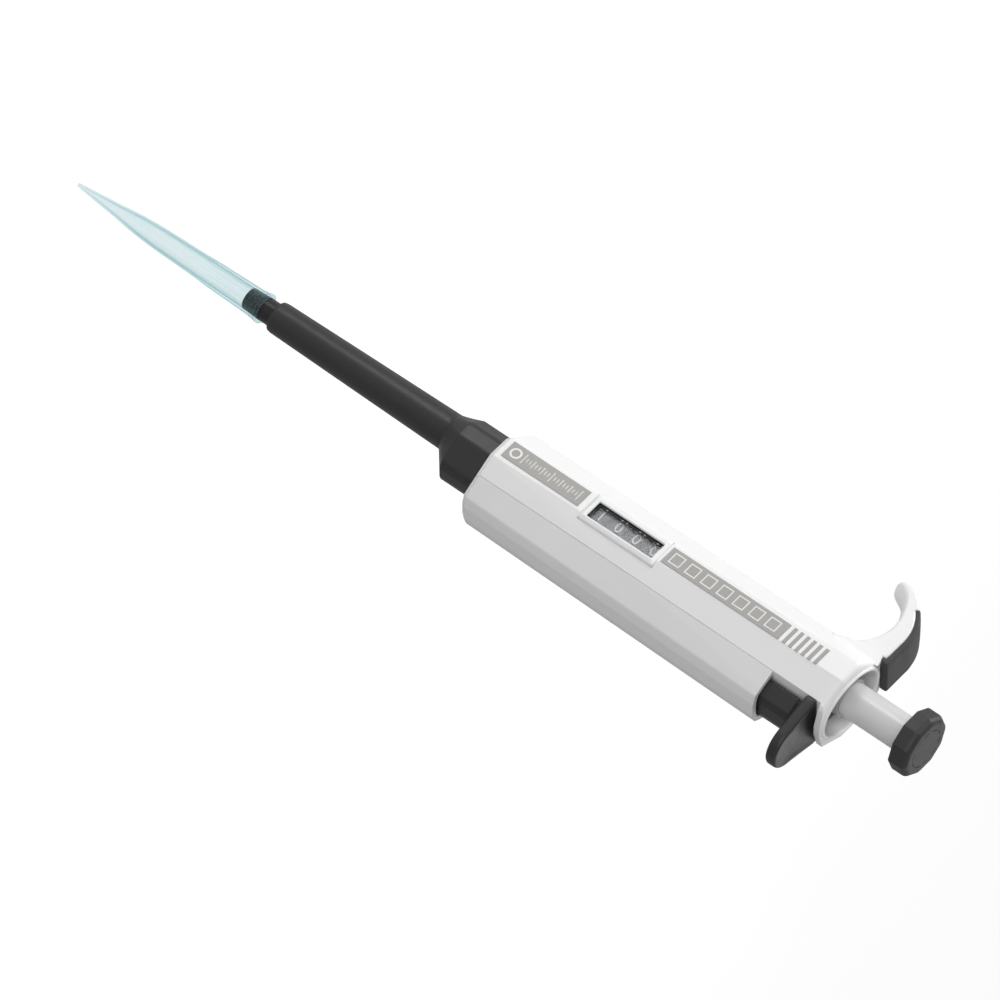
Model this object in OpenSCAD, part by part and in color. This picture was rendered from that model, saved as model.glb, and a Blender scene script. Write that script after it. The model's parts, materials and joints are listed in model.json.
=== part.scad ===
// Adjustable single-channel micropipette, 100 to 1000 microlitres.
// Z runs along the pipette, from the disposable tip up to the push button.
// The origin is the centre of the end face of the nozzle that carries the tip.
// +X is the side of the tip ejector, -X is the side of the finger hook.

/* [Disposable tip] */
// Distance from the nozzle's end face down to the point of the tip
tip_reach = 65.1; // [55:0.1:75]
// Height of the tip's collar above the nozzle's end face
tip_lip_z = 6.1; // [5:0.1:7]
// Outer radius of the tip's collar
tip_lip_r = 4.83; // [4.6:0.01:5]
// Number of stiffening ribs around the tip
tip_ribs = 8; // [4:1:12]

/* [Nozzle and cylinder] */
// Radius of the nozzle at its end face
nozzle_end_r = 3.42; // [3.2:0.01:3.5]
// Radius of the nozzle where the tip's collar sits
nozzle_top_r = 3.74; // [3.6:0.01:3.9]
// Radius of the piston, which sets the volume moved per millimetre
piston_r = 4.46; // [4.2:0.01:4.5]
// Radial clearance of a sliding or turning fit
fit_gap = 0.06; // [0.03:0.01:0.1]

/* [Ejector] */
// Height of the ejector sleeve's lower rim
sleeve_z = 10.2; // [9.5:0.1:11]
// Outer radius of the sleeve at its lower rim
sleeve_low_r = 4.95; // [4.8:0.01:5.2]
// Outer radius of the sleeve where its shoulder starts
sleeve_top_r = 5.83; // [5.5:0.01:6.2]
// Height where the sleeve's shoulder starts
shoulder_z = 75.7; // [74:0.1:77]
// Height where the shoulder reaches its full section
skirt_z = 82; // [81:0.1:83]
// Height of the upper face of the thumb paddle
paddle_z = 218.5; // [216:0.1:219]
// Distance from the pipette's axis to the end of the thumb paddle
paddle_reach = 31; // [28:0.1:32]
// Full stroke of the tip ejector
ejector_stroke = 10; // [8:0.1:10.2]

/* [Handle] */
// Height of the handle's lower end
handle_z = 94.9; // [93:0.1:97]
// Height of the rim around the push rod
rim_z = 221.8; // [220:0.1:224]
// Half thickness of the handle across its two side faces
side_y = 13.5; // [13:0.1:14]
// Distance from the axis to the parting plane of the ejector cover
parting_x = 12.2; // [11.8:0.1:12.6]
// Height of the ejector cover's upper end
cover_top_z = 202.7; // [200:0.1:204]
// Wall thickness of the handle
wall = 1.8; // [1.5:0.1:2]

/* [Finger hook] */
// Radius of the hook's inner arc, where a finger or a stand's rail sits
hook_seat_r = 12.7; // [12:0.1:13]
// Radius of the hook's outer arc
hook_back_r = 16.3; // [15.5:0.1:17]
// Width of the hook
hook_w = 13.6; // [12:0.1:15]

/* [Push button] */
// Radius of the push rod
rod_r = 5.35; // [5.2:0.01:5.5]
// Height of the button's lower face at rest
button_z = 241.8; // [240:0.1:244]
// Corner radius of the ten-sided button
button_r = 10; // [9:0.1:10.4]
// Height of the button
button_h = 6.1; // [5:0.1:8]
// Full stroke of the push button, blow-out included
press_stroke = 18.8; // [17:0.1:19]

/* [Volume counter] */
// Height of the middle of the four number rings
window_z = 141.4; // [140:0.05:142]
// Outer radius of the number rings
ring_r = 10; // [9.8:0.1:10.2]
// Spacing of the number rings along the axis
ring_pitch = 6.4; // [6.2:0.05:6.6]
// Travel of the piston from the largest volume to the smallest
set_travel = 14.4; // [12:0.1:14.4]

/* [Hidden] */
$fn = 72;

sliver = 0.01;
shaft_r = 4.0;
sleeve_bore_r = 4.3;
cylinder_r = 5.9;
cylinder_z = 86;
flare_z = 76;
skirt_top_z = 112;
bulkhead_z = 124;
shaft_top_z = 131;
carrier_r = 8.95;
ring_low_z = window_z - 2 * ring_pitch + 0.05;
hub_z = ring_low_z + 4 * ring_pitch - 0.1;
hub_shoulder_z = 179;
hub_top_z = 204;
swivel_z = 173.9;
spring_seat_z = 134;
collar_z = 170;
plate_z = spring_seat_z + press_stroke + set_travel + 0.3;
stem_z = 199;
tab_t = 1.8;
screw_x = 16.2;
screw_y = [-3, 3];
ledge_z = 175;
bearing_z = 190;
guide_z = 206;
bar_x = parting_x + 0.85;
hook_seat = [-23.4, 204.6];
hook_back = [-21.2, 208];
hook_flat_x = -11.9;
hook_root_x = -11;
pad_t = 1.3;
frame_x = [-2.5, 7.7];
frame_z = [window_z - 13.3, window_z + 13.8];
opening_x = [0, 6.1];
opening_z = [window_z - 11.2, window_z + 12.3];
mouth_x = 1.3;
mouth = [11.8, 9.3];
label_x = [-1.2, 5.05];
label_t = 0.2;

// Unit outward normal of the edge from a to b of a counter-clockwise outline
function edge_normal(a, b) = [b[1] - a[1], a[0] - b[0]] / norm(b - a);

// Convex outline p moved inwards by d
function inset(p, d) = [
    for (i = [0:len(p) - 1])
        let (before = p[(i + len(p) - 1) % len(p)],
             after = p[(i + 1) % len(p)],
             n = edge_normal(before, p[i]),
             m = edge_normal(p[i], after))
        p[i] - d * (n + m) / (1 + n * m)];

// Convex outline p with its corners rounded to radius r
function rounded(p, r, steps = 4) = [
    for (i = [0:len(p) - 1])
        let (before = p[(i + len(p) - 1) % len(p)],
             after = p[(i + 1) % len(p)],
             n = edge_normal(before, p[i]),
             m = edge_normal(p[i], after),
             centre = p[i] - r * (n + m) / (1 + n * m),
             start = atan2(n[1], n[0]),
             turn = acos(min(1, n * m)))
        for (k = [0:steps])
            centre + r * [cos(start + turn * k / steps), sin(start + turn * k / steps)]];

// Corners of one half of a section, mirrored to make the whole counter-clockwise outline
function mirrored(half) = concat(
    [for (p = half) [p[0], -p[1]]],
    [for (i = [len(half) - 1:-1:0]) half[i]]);

// Section of the handle: t is 0 at its lower end and 1 at the rim
function handle_section(t) = mirrored([
    [-11.5 - 0.4 * t, 5.1 + 0.3 * t],
    [-1.7 - 1.4 * t, side_y],
    [6.35 - 1.75 * t, side_y],
    [18.5 + 1.7 * t, 6.2 - 0.2 * t],
    [19.5 + 1.7 * t, 2.6]]);

// Section of the ejector sleeve's skirt
skirt_section = mirrored([[-7.5, 3.4], [-1.1, 9.2], [4.3, 9.2], [12.3, 4.2], [13, 1.8]]);

function ellipse(a, b, n = 72) = [for (i = [0:n - 1]) [a * cos(i * 360 / n), b * sin(i * 360 / n)]];

// Point k of ring i of a coil: the wire's section is an octagon
function coil_point(coil_r, wire_r, height, turns, per_turn, i, k) =
    let (angle = i * 360 / per_turn,
         r = coil_r + wire_r * cos(k * 45),
         z = wire_r + (height - 2 * wire_r) * i / (turns * per_turn) + wire_r * sin(k * 45))
    [r * cos(angle), r * sin(angle), z];

module coil(coil_r, wire_r, height, turns, per_turn = 18) {
    rings = turns * per_turn;
    points = [for (i = [0:rings]) for (k = [0:7]) coil_point(coil_r, wire_r, height, turns, per_turn, i, k)];
    sides = [for (i = [0:rings - 1]) for (k = [0:7])
        [i * 8 + k, i * 8 + 8 + k, i * 8 + 8 + (k + 1) % 8, i * 8 + (k + 1) % 8]];
    polyhedron(points, concat([[0, 1, 2, 3, 4, 5, 6, 7]], sides, [[for (k = [7:-1:0]) rings * 8 + k]]));
}

module tube(outer_r, inner_r, low_z, high_z) {
    translate([0, 0, low_z]) difference() {
        cylinder(r = outer_r, h = high_z - low_z);
        translate([0, 0, -1]) cylinder(r = inner_r, h = high_z - low_z + 2);
    }
}

module slab(outline, z) {
    translate([0, 0, z]) linear_extrude(sliver) polygon(outline);
}

// Solid bounded by the handle's outside, moved inwards by gap, from low_z to high_z
module handle_body(gap, low_z, high_z, corner = 1) {
    t_low = (low_z - handle_z) / (rim_z - handle_z);
    t_high = (high_z - handle_z) / (rim_z - handle_z);
    hull() {
        slab(rounded(inset(handle_section(t_low), gap), corner), low_z);
        slab(rounded(inset(handle_section(t_high), gap), corner), high_z - sliver);
    }
}

// The handle's outside, with its lower edge eased and its upper edge rounded
module handle_outside() {
    lead = 1.5;
    lip_r = 1.7;
    hull() {
        slab(rounded(inset(handle_section(0), 1.2), 1), handle_z);
        slab(rounded(handle_section(0), 1.2), handle_z + lead);
        for (a = [0:30:90])
            slab(rounded(inset(handle_section(1), lip_r * (1 - cos(a))), 1.2),
                 rim_z - sliver - lip_r * (1 - sin(a)));
    }
}

// Outline of the mouth in the rim, smaller all round by gap and cut off at high_x
module mouth_outline(gap = 0, high_x = 20) {
    intersection() {
        translate([mouth_x, 0]) polygon(ellipse(mouth[0] - gap, mouth[1] - gap));
        translate([high_x - 40, -20]) square([40, 40]);
    }
}

// A flat plate that fills the handle's cavity across, with a round hole
module cavity_plate(low_z, thickness, hole_r) {
    difference() {
        intersection() {
            handle_body(wall + 0.03, low_z, low_z + thickness);
            translate([-20, -20, low_z - 1]) cube([20 + parting_x - 1.25, 40, thickness + 2]);
        }
        translate([0, 0, low_z - 1]) cylinder(r = hole_r, h = thickness + 2);
    }
}

module tip() {
    lip_h = 0.9;
    color([0.62, 0.86, 0.90, 0.55]) {
        difference() {
            union() {
                rotate_extrude() polygon([
                    [0.25, -tip_reach], [0.6, -tip_reach], [2.1, -49.5], [3.0, -41.6], [3.45, -33.8],
                    [3.85, -15.1], [4.3, tip_lip_z - lip_h], [tip_lip_r, tip_lip_z - lip_h],
                    [tip_lip_r, tip_lip_z], [nozzle_top_r + 0.05, tip_lip_z], [nozzle_end_r + 0.05, 0],
                    [3.3, -15.1], [2.95, -33.8], [2.5, -41.6], [1.6, -49.5]]);
                for (i = [0:tip_ribs - 1]) rotate([0, 0, i * 360 / tip_ribs])
                    translate([3.95, -0.3, -15.1]) cube([0.42, 0.6, 20.4]);
            }
            translate([0, 0, -15.2]) cylinder(r = 3.2, h = 30);
        }
    }
}

module nozzle_shaft() {
    channel_r = 1.2;
    groove_r = 0.35;
    color([0.10, 0.10, 0.11]) rotate_extrude() polygon([
        [channel_r, 0], [nozzle_end_r, 0],
        [nozzle_end_r + 0.08, 1.4], [nozzle_end_r + 0.08 - groove_r, 1.4],
        [nozzle_end_r + 0.08 - groove_r, 2.1], [nozzle_end_r + 0.12, 2.1],
        [nozzle_end_r + 0.19, 3.5], [nozzle_end_r + 0.19 - groove_r, 3.5],
        [nozzle_end_r + 0.19 - groove_r, 4.2], [nozzle_end_r + 0.23, 4.2],
        [nozzle_top_r, 6], [nozzle_top_r, 18], [shaft_r, 20], [shaft_r, flare_z],
        [cylinder_r, flare_z + 8],
        [cylinder_r, bulkhead_z - 4], [7.6, bulkhead_z - 4], [7.6, bulkhead_z], [cylinder_r, bulkhead_z],
        [cylinder_r, shaft_top_z], [5.3, shaft_top_z], [5.3, shaft_top_z - 4],
        [piston_r + fit_gap, shaft_top_z - 4], [piston_r + fit_gap, cylinder_z],
        [channel_r, cylinder_z - 2]]);
}

module nozzle_rings() {
    color([0.22, 0.22, 0.23]) {
        tube(nozzle_end_r + 0.1, nozzle_end_r - 0.25, 1.42, 2.08);
        tube(nozzle_end_r + 0.2, nozzle_end_r - 0.14, 3.52, 4.18);
    }
}

module ejector_sleeve() {
    rim_r = 4.45;
    skirt_wall = 1.3;
    color([0.15, 0.15, 0.16]) {
        difference() {
            union() {
                rotate_extrude() polygon([
                    [0, sleeve_z], [rim_r, sleeve_z], [sleeve_low_r, sleeve_z + 1.3],
                    [sleeve_top_r, shoulder_z], [0, shoulder_z]]);
                hull() {
                    translate([0, 0, shoulder_z - 0.5]) cylinder(r = sleeve_top_r - 0.02, h = 0.5, $fn = 32);
                    translate([0, 0, skirt_z]) linear_extrude(1) polygon(rounded(skirt_section, 1.5));
                }
                translate([0, 0, skirt_z + 0.5]) linear_extrude(skirt_top_z - skirt_z - 0.5)
                    polygon(rounded(skirt_section, 1.5));
            }
            translate([0, 0, sleeve_z - 1]) cylinder(r = sleeve_bore_r, h = shoulder_z);
            hull() {
                translate([0, 0, shoulder_z - 2]) cylinder(r = sleeve_bore_r - 0.02, h = 0.5, $fn = 32);
                translate([0, 0, skirt_z + 1]) linear_extrude(1)
                    polygon(rounded(inset(skirt_section, skirt_wall), 0.8));
            }
            translate([0, 0, skirt_z + 1.5]) linear_extrude(skirt_top_z - skirt_z)
                polygon(rounded(inset(skirt_section, skirt_wall), 0.8));
        }
    }
}

module ejector_bar() {
    bar_t = 1.6;
    bar_w = 8;
    low_z = skirt_top_z - 2.5;
    color([0.16, 0.16, 0.17]) difference() {
        union() {
            translate([bar_x, -bar_w / 2, low_z]) cube([bar_t, bar_w, stem_z - low_z]);
            translate([0, 0, stem_z - tab_t]) linear_extrude(tab_t) stem_outline();
        }
        for (y = screw_y) translate([screw_x, y, stem_z - tab_t - 1]) cylinder(r = 1, h = tab_t + 2);
    }
}

// Section of the stem, small enough to pass the handle at the end of the ejector's stroke
module stem_outline() {
    t = (stem_z - ejector_stroke - handle_z) / (rim_z - handle_z);
    intersection() {
        polygon(inset(handle_section(t), wall + 0.1));
        translate([bar_x, -20]) square([20, 40]);
    }
}

module paddle_outline() {
    end_r = 7.2;
    polygon(concat(
        [[parting_x + 0.25, 10], [parting_x + 0.25, -10]],
        [for (a = [-72:12:72]) [paddle_reach - end_r + end_r * cos(a), end_r * sin(a)]]));
}

// The underside flares out from the stem just above the cover, and the thumb face is dished
module ejector_button() {
    flare_low_z = cover_top_z + ejector_stroke + 0.3;
    edge_t = 1.6;
    dish_r = 60;
    color([0.16, 0.16, 0.17]) difference() {
        union() {
            translate([0, 0, stem_z]) linear_extrude(flare_low_z - stem_z) stem_outline();
            hull() {
                translate([0, 0, flare_low_z - sliver]) linear_extrude(sliver) stem_outline();
                translate([0, 0, paddle_z - edge_t]) linear_extrude(edge_t) paddle_outline();
            }
        }
        for (y = screw_y) translate([screw_x, y, stem_z - 1]) cylinder(r = 0.95, h = 7);
        translate([(parting_x + paddle_reach) / 2 + 2, 0, paddle_z + dish_r - 1]) rotate([90, 0, 0])
            cylinder(r = dish_r, h = 40, center = true);
    }
}

module ejector_screws() {
    color([0.75, 0.75, 0.77]) for (y = screw_y) translate([screw_x, y, stem_z - tab_t]) {
        translate([0, 0, -1]) cylinder(r = 1.4, h = 1);
        translate([0, 0, -sliver]) cylinder(r = 0.9, h = 6.5);
    }
}

module ejector_spring() {
    gap = 0.02;
    color([0.80, 0.80, 0.82]) translate([screw_x + 0.1, 0, ledge_z + gap])
        coil(1.1, 0.22, stem_z - tab_t - ledge_z - 5 * gap, 11, 12);
}

// Outline of the hook's back, moved inwards by depth: an arc, then a flat to the rim
module hook_back_outline(depth) {
    translate(hook_back) circle(r = hook_back_r - depth);
    translate([hook_back[0], hook_back[1] - 10])
        square([hook_root_x - hook_back[0], 10 + hook_back_r - depth]);
}

module hook_profile() {
    difference() {
        hook_back_outline(0);
        translate(hook_seat) circle(r = hook_seat_r);
        translate([-60, 180]) square([60, 28]);
        translate([hook_root_x, 180]) square([40, rim_z - 180]);
        translate([hook_flat_x, rim_z]) square([40, 10]);
    }
}

// Space that the rubber pad fills: the hook's back down to pad_t, and a lip over the rim's edge
module pad_profile(clearance) {
    pad_end = 135;
    lip_x = hook_flat_x - 1.3;
    difference() {
        union() {
            polygon([hook_back, hook_back + 30 * [cos(pad_end + clearance), sin(pad_end + clearance)],
                     [hook_back[0], 240], [hook_flat_x + clearance, 240], [hook_flat_x + clearance, rim_z]]);
            translate([lip_x - clearance / 50, rim_z + 0.05 - clearance / 20]) square([3, 5]);
        }
        difference() {
            hook_back_outline(pad_t + clearance / 50);
            translate([lip_x - clearance / 50, rim_z + 0.05 - clearance / 20]) square([5, 10]);
        }
    }
}

module across(width) {
    translate([0, width / 2, 0]) rotate([90, 0, 0]) linear_extrude(width) children();
}

// Opening in the handle's lower end that the ejector's skirt slides through
module skirt_opening() {
    translate([0, 0, handle_z - 1]) linear_extrude(4)
        polygon(rounded(inset(skirt_section, -0.35), 1.8));
}

module handle_shell() {
    lip_x = parting_x + 3.8;
    lip_y = 10;
    lip_corner = 4.5;
    lip_z = rim_z - 2;
    color([0.93, 0.93, 0.93]) difference() {
        union() {
            intersection() {
                handle_outside();
                union() {
                    translate([-40, -20, handle_z - 1]) cube([40 + parting_x, 40, 140]);
                    translate([0, 0, lip_z]) linear_extrude(10) polygon(rounded(
                        [[0, -lip_y], [lip_x, -lip_y], [lip_x, lip_y], [0, lip_y]], lip_corner));
                }
            }
            difference() {
                across(hook_w) hook_profile();
                across(hook_w + 1) pad_profile(1);
            }
        }
        intersection() {
            handle_body(wall, handle_z + 2.5, rim_z - 5);
            union() {
                translate([-20, -20, handle_z]) cube([20 + parting_x - 1.2, 40, 140]);
                translate([-20, -20, handle_z]) cube([60, 40, 116 - handle_z]);
            }
        }
        skirt_opening();
        translate([0, 0, rim_z - 5.1]) linear_extrude(10) mouth_outline(0, parting_x - 1.2);
        translate([0, 0, lip_z + 0.4]) linear_extrude(5) mouth_outline();
        translate([frame_x[0], -20, frame_z[0]])
            cube([frame_x[1] - frame_x[0], 12, frame_z[1] - frame_z[0]]);
        translate([0, 0, bulkhead_z + 2.9]) cylinder(r = ring_r + 0.15, h = hub_z - bulkhead_z);
    }
}

module ejector_cover() {
    color([0.84, 0.84, 0.84]) {
        difference() {
            intersection() {
                handle_outside();
                translate([parting_x + 0.1, -20, handle_z - 1]) cube([20, 40, cover_top_z - handle_z + 1]);
            }
            handle_body(wall - 0.3, handle_z + 2.5, cover_top_z + 1);
            skirt_opening();
        }
        intersection() {
            handle_body(wall - 0.5, ledge_z - 3, ledge_z);
            translate([bar_x + 1.9, -20, ledge_z - 3]) cube([20, 40, 3]);
        }
    }
}

module hook_pad() {
    color([0.20, 0.20, 0.21]) across(hook_w - 0.4) intersection() {
        pad_profile(0);
        hook_back_outline(-0.1);
        translate([-60, 180]) square([60 + hook_flat_x, 60]);
    }
}

module window_frame() {
    y_front = side_y + 0.7;
    y_back = side_y - 1.9;
    bevel = 0.8;
    gap = 0.03;
    color([0.95, 0.95, 0.95]) difference() {
        translate([0, 0, frame_z[0] + gap]) linear_extrude(frame_z[1] - frame_z[0] - 2 * gap) polygon([
            [frame_x[0] + gap, -y_back], [frame_x[0] + gap, -y_front + bevel],
            [frame_x[0] + bevel, -y_front], [frame_x[1] - bevel, -y_front],
            [frame_x[1] - gap, -y_front + bevel], [frame_x[1] - gap, -y_back]]);
        translate([opening_x[0], -20, opening_z[0]])
            cube([opening_x[1] - opening_x[0], 12, opening_z[1] - opening_z[0]]);
    }
}

module window_lens() {
    gap = 0.03;
    lens_t = 0.8;
    color([0.75, 0.80, 0.82, 0.35])
        translate([opening_x[0] + gap, -side_y + 0.9, opening_z[0] + gap])
            cube([opening_x[1] - opening_x[0] - 2 * gap, lens_t, opening_z[1] - opening_z[0] - 2 * gap]);
}

module label_plate(low_z, high_z) {
    translate([label_x[0], -side_y - label_t, low_z])
        cube([label_x[1] - label_x[0], label_t, high_z - low_z]);
}

module range_label() {
    color([0.66, 0.65, 0.64]) label_plate(98, 126.1);
}

module name_label() {
    color([0.66, 0.65, 0.64]) label_plate(156.2, 198.5);
}

module label_bars() {
    bars = 6;
    bar_h = 1.1;
    bar_step = 2.24;
    first_z = 199.8;
    color([0.66, 0.65, 0.64]) for (i = [0:bars - 1])
        label_plate(first_z + i * bar_step, first_z + i * bar_step + bar_h);
}

module bulkhead() {
    color([0.80, 0.80, 0.80]) cavity_plate(bulkhead_z, 3, cylinder_r + 0.05);
}

module shaft_nut() {
    color([0.72, 0.60, 0.30]) translate([0, 0, bulkhead_z + 3]) difference() {
        intersection() {
            cylinder(r = 8.2, h = 3.5, $fn = 6);
            cylinder(r = 7.9, h = 3.5);
        }
        translate([0, 0, -1]) cylinder(r = cylinder_r + 0.05, h = 6);
    }
}

module seal_cap() {
    color([0.85, 0.85, 0.85]) tube(8, piston_r + 0.1, shaft_top_z, spring_seat_z);
}

module piston_seal() {
    color([0.96, 0.96, 0.94]) tube(5.28, piston_r + 0.01, shaft_top_z - 4, shaft_top_z - 2);
}

module seal_oring() {
    color([0.12, 0.12, 0.12]) tube(5.26, piston_r + 0.02, shaft_top_z - 1.98, shaft_top_z - 0.02);
}

module ring_carrier() {
    color([0.30, 0.30, 0.31]) {
        tube(carrier_r, 8.35, bulkhead_z + 3, hub_z - 0.2);
        tube(ring_r - 0.3, carrier_r - 0.1, bulkhead_z + 3, bulkhead_z + 3.9);
    }
}

// One number ring, with the shallow drive groove between it and the next
module number_ring(index) {
    low = ring_low_z + index * ring_pitch;
    high = low + ring_pitch - 0.1;
    groove = 0.35;
    translate([0, 0, low]) rotate_extrude() polygon([
        [carrier_r + fit_gap, 0], [ring_r - groove, 0], [ring_r - groove, 0.5], [ring_r, 0.5],
        [ring_r, high - low - 0.5], [ring_r - groove, high - low - 0.5], [ring_r - groove, high - low],
        [carrier_r + fit_gap, high - low]]);
}

module thousands_ring() {
    color([0.25, 0.25, 0.26]) number_ring(0);
}

module hundreds_ring() {
    color([0.25, 0.25, 0.26]) number_ring(1);
}

module tens_ring() {
    color([0.25, 0.25, 0.26]) number_ring(2);
}

module units_ring() {
    color([0.25, 0.25, 0.26]) number_ring(3);
}

// Shape of the two keys that let the push rod slide in the hub but not turn in it
module keys(half_width, reach, low_z, high_z) {
    translate([-reach, -half_width, low_z]) cube([2 * reach, 2 * half_width, high_z - low_z]);
}

module drive_hub() {
    flange_h = 2.4;
    color([0.70, 0.71, 0.73]) difference() {
        union() {
            tube(ring_r, 7.35, hub_z, hub_z + flange_h);
            tube(8.8, 7.35, hub_z, hub_shoulder_z);
            tube(8.8, rod_r + fit_gap, hub_shoulder_z, hub_shoulder_z + 2);
            tube(7.6, rod_r + fit_gap, hub_shoulder_z, hub_top_z);
        }
        keys(1.06, 6.5, hub_shoulder_z - 1, hub_top_z + 1);
    }
}

module hub_clip() {
    color([0.60, 0.60, 0.62]) tube(9.4, 7.62, bearing_z + 3.1, bearing_z + 4.3);
}

module hub_bearing() {
    color([0.88, 0.88, 0.86]) cavity_plate(bearing_z, 3, 7.6 + fit_gap);
}

module push_rod() {
    bore_r = 4.6;
    color([0.88, 0.88, 0.89]) {
        tube(7.2, bore_r, hub_shoulder_z - 3, hub_shoulder_z);
        tube(rod_r, bore_r, hub_shoulder_z - 1, button_z + 2.8);
        difference() {
            keys(1, 6.4, hub_shoulder_z, hub_top_z - 6);
            translate([0, 0, hub_shoulder_z - 1]) cylinder(r = bore_r + 0.4, h = 40);
        }
    }
}

module push_button() {
    ease = 2;
    color([0.19, 0.19, 0.20]) translate([0, 0, button_z]) difference() {
        intersection() {
            cylinder(r = button_r, h = button_h, $fn = 10);
            rotate_extrude() polygon(concat(
                [[0, 0], [button_r - 0.4, 0], [button_r, 0.5]],
                [for (a = [0:15:90]) [button_r - ease + ease * cos(a), button_h - ease + ease * sin(a)]],
                [[0, button_h]]));
        }
        translate([0, 0, -1]) cylinder(r = rod_r + 0.02, h = 3.85);
        translate([0, 0, button_h - 0.6]) cylinder(r = 6.2, h = 1);
    }
}

module button_disc() {
    color([0.27, 0.27, 0.28]) translate([0, 0, button_z + button_h - 0.6]) cylinder(r = 6.17, h = 0.6);
}

module thread_nut() {
    color([0.76, 0.62, 0.32]) tube(4.58, 2.4 + fit_gap, 183, 193);
}

module swivel_collar() {
    color([0.78, 0.79, 0.80]) tube(7.1, 2.4 + fit_gap, swivel_z, hub_shoulder_z - 3.05);
}

module spindle() {
    groove_z = 176;
    turns = 12;
    color([0.76, 0.62, 0.32]) difference() {
        translate([0, 0, collar_z + 1.5]) cylinder(r = 2.4, h = 36.5);
        for (i = [0:turns - 1]) tube(3, 2.1, groove_z + 1.2 + i * 2.4, groove_z + 1.8 + i * 2.4);
    }
}

module piston() {
    color([0.80, 0.81, 0.83]) translate([0, 0, shaft_top_z - 5]) rotate_extrude() polygon([
        [0, 0], [piston_r - 0.5, 0], [piston_r, 0.5], [piston_r, collar_z - shaft_top_z + 5],
        [0, collar_z - shaft_top_z + 5]]);
}

module piston_collar() {
    color([0.55, 0.56, 0.58]) difference() {
        translate([0, 0, collar_z]) cylinder(r = 5.8, h = swivel_z - collar_z - 0.1);
        translate([0, 0, collar_z + 1.48]) cylinder(r = 2.43, h = 5);
    }
}

module blowout_spring() {
    low = plate_z + 1.2;
    color([0.82, 0.82, 0.84]) rotate_extrude() polygon([
        [4.62, low + 0.8], [4.9, low], [5.2, low], [4.9, low + 0.9], [5.5, collar_z], [5.2, collar_z]]);
}

module blowout_plate() {
    color([0.66, 0.67, 0.69]) tube(5.8, piston_r + 0.05, plate_z, plate_z + 1.2);
}

module main_spring() {
    color([0.78, 0.79, 0.80]) translate([0, 0, spring_seat_z + 0.02])
        coil(6.5, 0.42, swivel_z - spring_seat_z - 0.04, 9);
}

module rod_guide() {
    ring_t = 0.75;
    web_t = 1.2;
    web_z = rim_z - 5;
    bore_r = rod_r + fit_gap;
    color([0.90, 0.90, 0.90]) {
        cavity_plate(guide_z, 2, bore_r);
        tube(bore_r + ring_t, bore_r, guide_z + 1, rim_z - 0.8);
        intersection() {
            for (a = [0, 120, 240]) rotate([0, 0, a])
                translate([bore_r + 0.3, -web_t / 2, web_z]) cube([8, web_t, 1.5]);
            translate([0, 0, guide_z]) linear_extrude(rim_z - guide_z)
                mouth_outline(0.05, parting_x - 1.25);
        }
    }
}

tip();
nozzle_shaft();
nozzle_rings();
ejector_sleeve();
ejector_bar();
ejector_button();
ejector_screws();
ejector_spring();
handle_shell();
ejector_cover();
hook_pad();
window_frame();
window_lens();
range_label();
name_label();
label_bars();
bulkhead();
shaft_nut();
seal_cap();
piston_seal();
seal_oring();
ring_carrier();
thousands_ring();
hundreds_ring();
tens_ring();
units_ring();
drive_hub();
hub_clip();
hub_bearing();
push_rod();
push_button();
button_disc();
thread_nut();
swivel_collar();
spindle();
piston();
piston_collar();
blowout_spring();
blowout_plate();
main_spring();
rod_guide();
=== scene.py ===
import json
import math
import bpy
import bmesh
from mathutils import Matrix, Vector


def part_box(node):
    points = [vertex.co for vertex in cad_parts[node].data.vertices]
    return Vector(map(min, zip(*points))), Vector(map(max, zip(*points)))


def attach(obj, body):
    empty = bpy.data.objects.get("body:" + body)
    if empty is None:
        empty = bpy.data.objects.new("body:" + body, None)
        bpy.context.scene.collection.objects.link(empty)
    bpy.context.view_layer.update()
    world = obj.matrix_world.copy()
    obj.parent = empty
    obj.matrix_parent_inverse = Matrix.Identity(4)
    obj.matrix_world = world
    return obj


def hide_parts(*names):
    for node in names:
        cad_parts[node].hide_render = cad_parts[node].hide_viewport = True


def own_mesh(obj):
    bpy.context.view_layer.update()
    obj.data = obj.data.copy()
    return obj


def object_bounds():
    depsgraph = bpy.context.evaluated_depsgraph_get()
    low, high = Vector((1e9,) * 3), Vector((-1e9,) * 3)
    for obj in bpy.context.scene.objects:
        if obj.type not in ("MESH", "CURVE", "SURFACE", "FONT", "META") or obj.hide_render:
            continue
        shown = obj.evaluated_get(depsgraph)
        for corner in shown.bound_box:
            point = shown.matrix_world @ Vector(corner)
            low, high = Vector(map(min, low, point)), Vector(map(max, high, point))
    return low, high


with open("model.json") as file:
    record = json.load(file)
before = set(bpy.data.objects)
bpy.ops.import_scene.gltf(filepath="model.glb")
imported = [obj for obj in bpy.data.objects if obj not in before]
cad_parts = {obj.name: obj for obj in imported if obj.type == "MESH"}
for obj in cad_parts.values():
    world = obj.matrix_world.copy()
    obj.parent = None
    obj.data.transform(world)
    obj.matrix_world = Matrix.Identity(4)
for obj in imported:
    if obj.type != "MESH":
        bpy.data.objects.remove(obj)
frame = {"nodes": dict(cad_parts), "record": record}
cad_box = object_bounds()
nodes = frame["nodes"]
MM = 0.001


# ---------------------------------------------------------------- materials

def node(tree, kind, inputs=None, **settings):
    """Adds a shader node; inputs maps a socket's name or number to a value or to another node's output."""
    made = tree.nodes.new(kind)
    for key, value in settings.items():
        setattr(made, key, value)
    for key, value in (inputs or {}).items():
        socket = made.inputs[key]
        if isinstance(value, bpy.types.NodeSocket):
            tree.links.new(value, socket)
        else:
            socket.default_value = value
    return made


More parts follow.
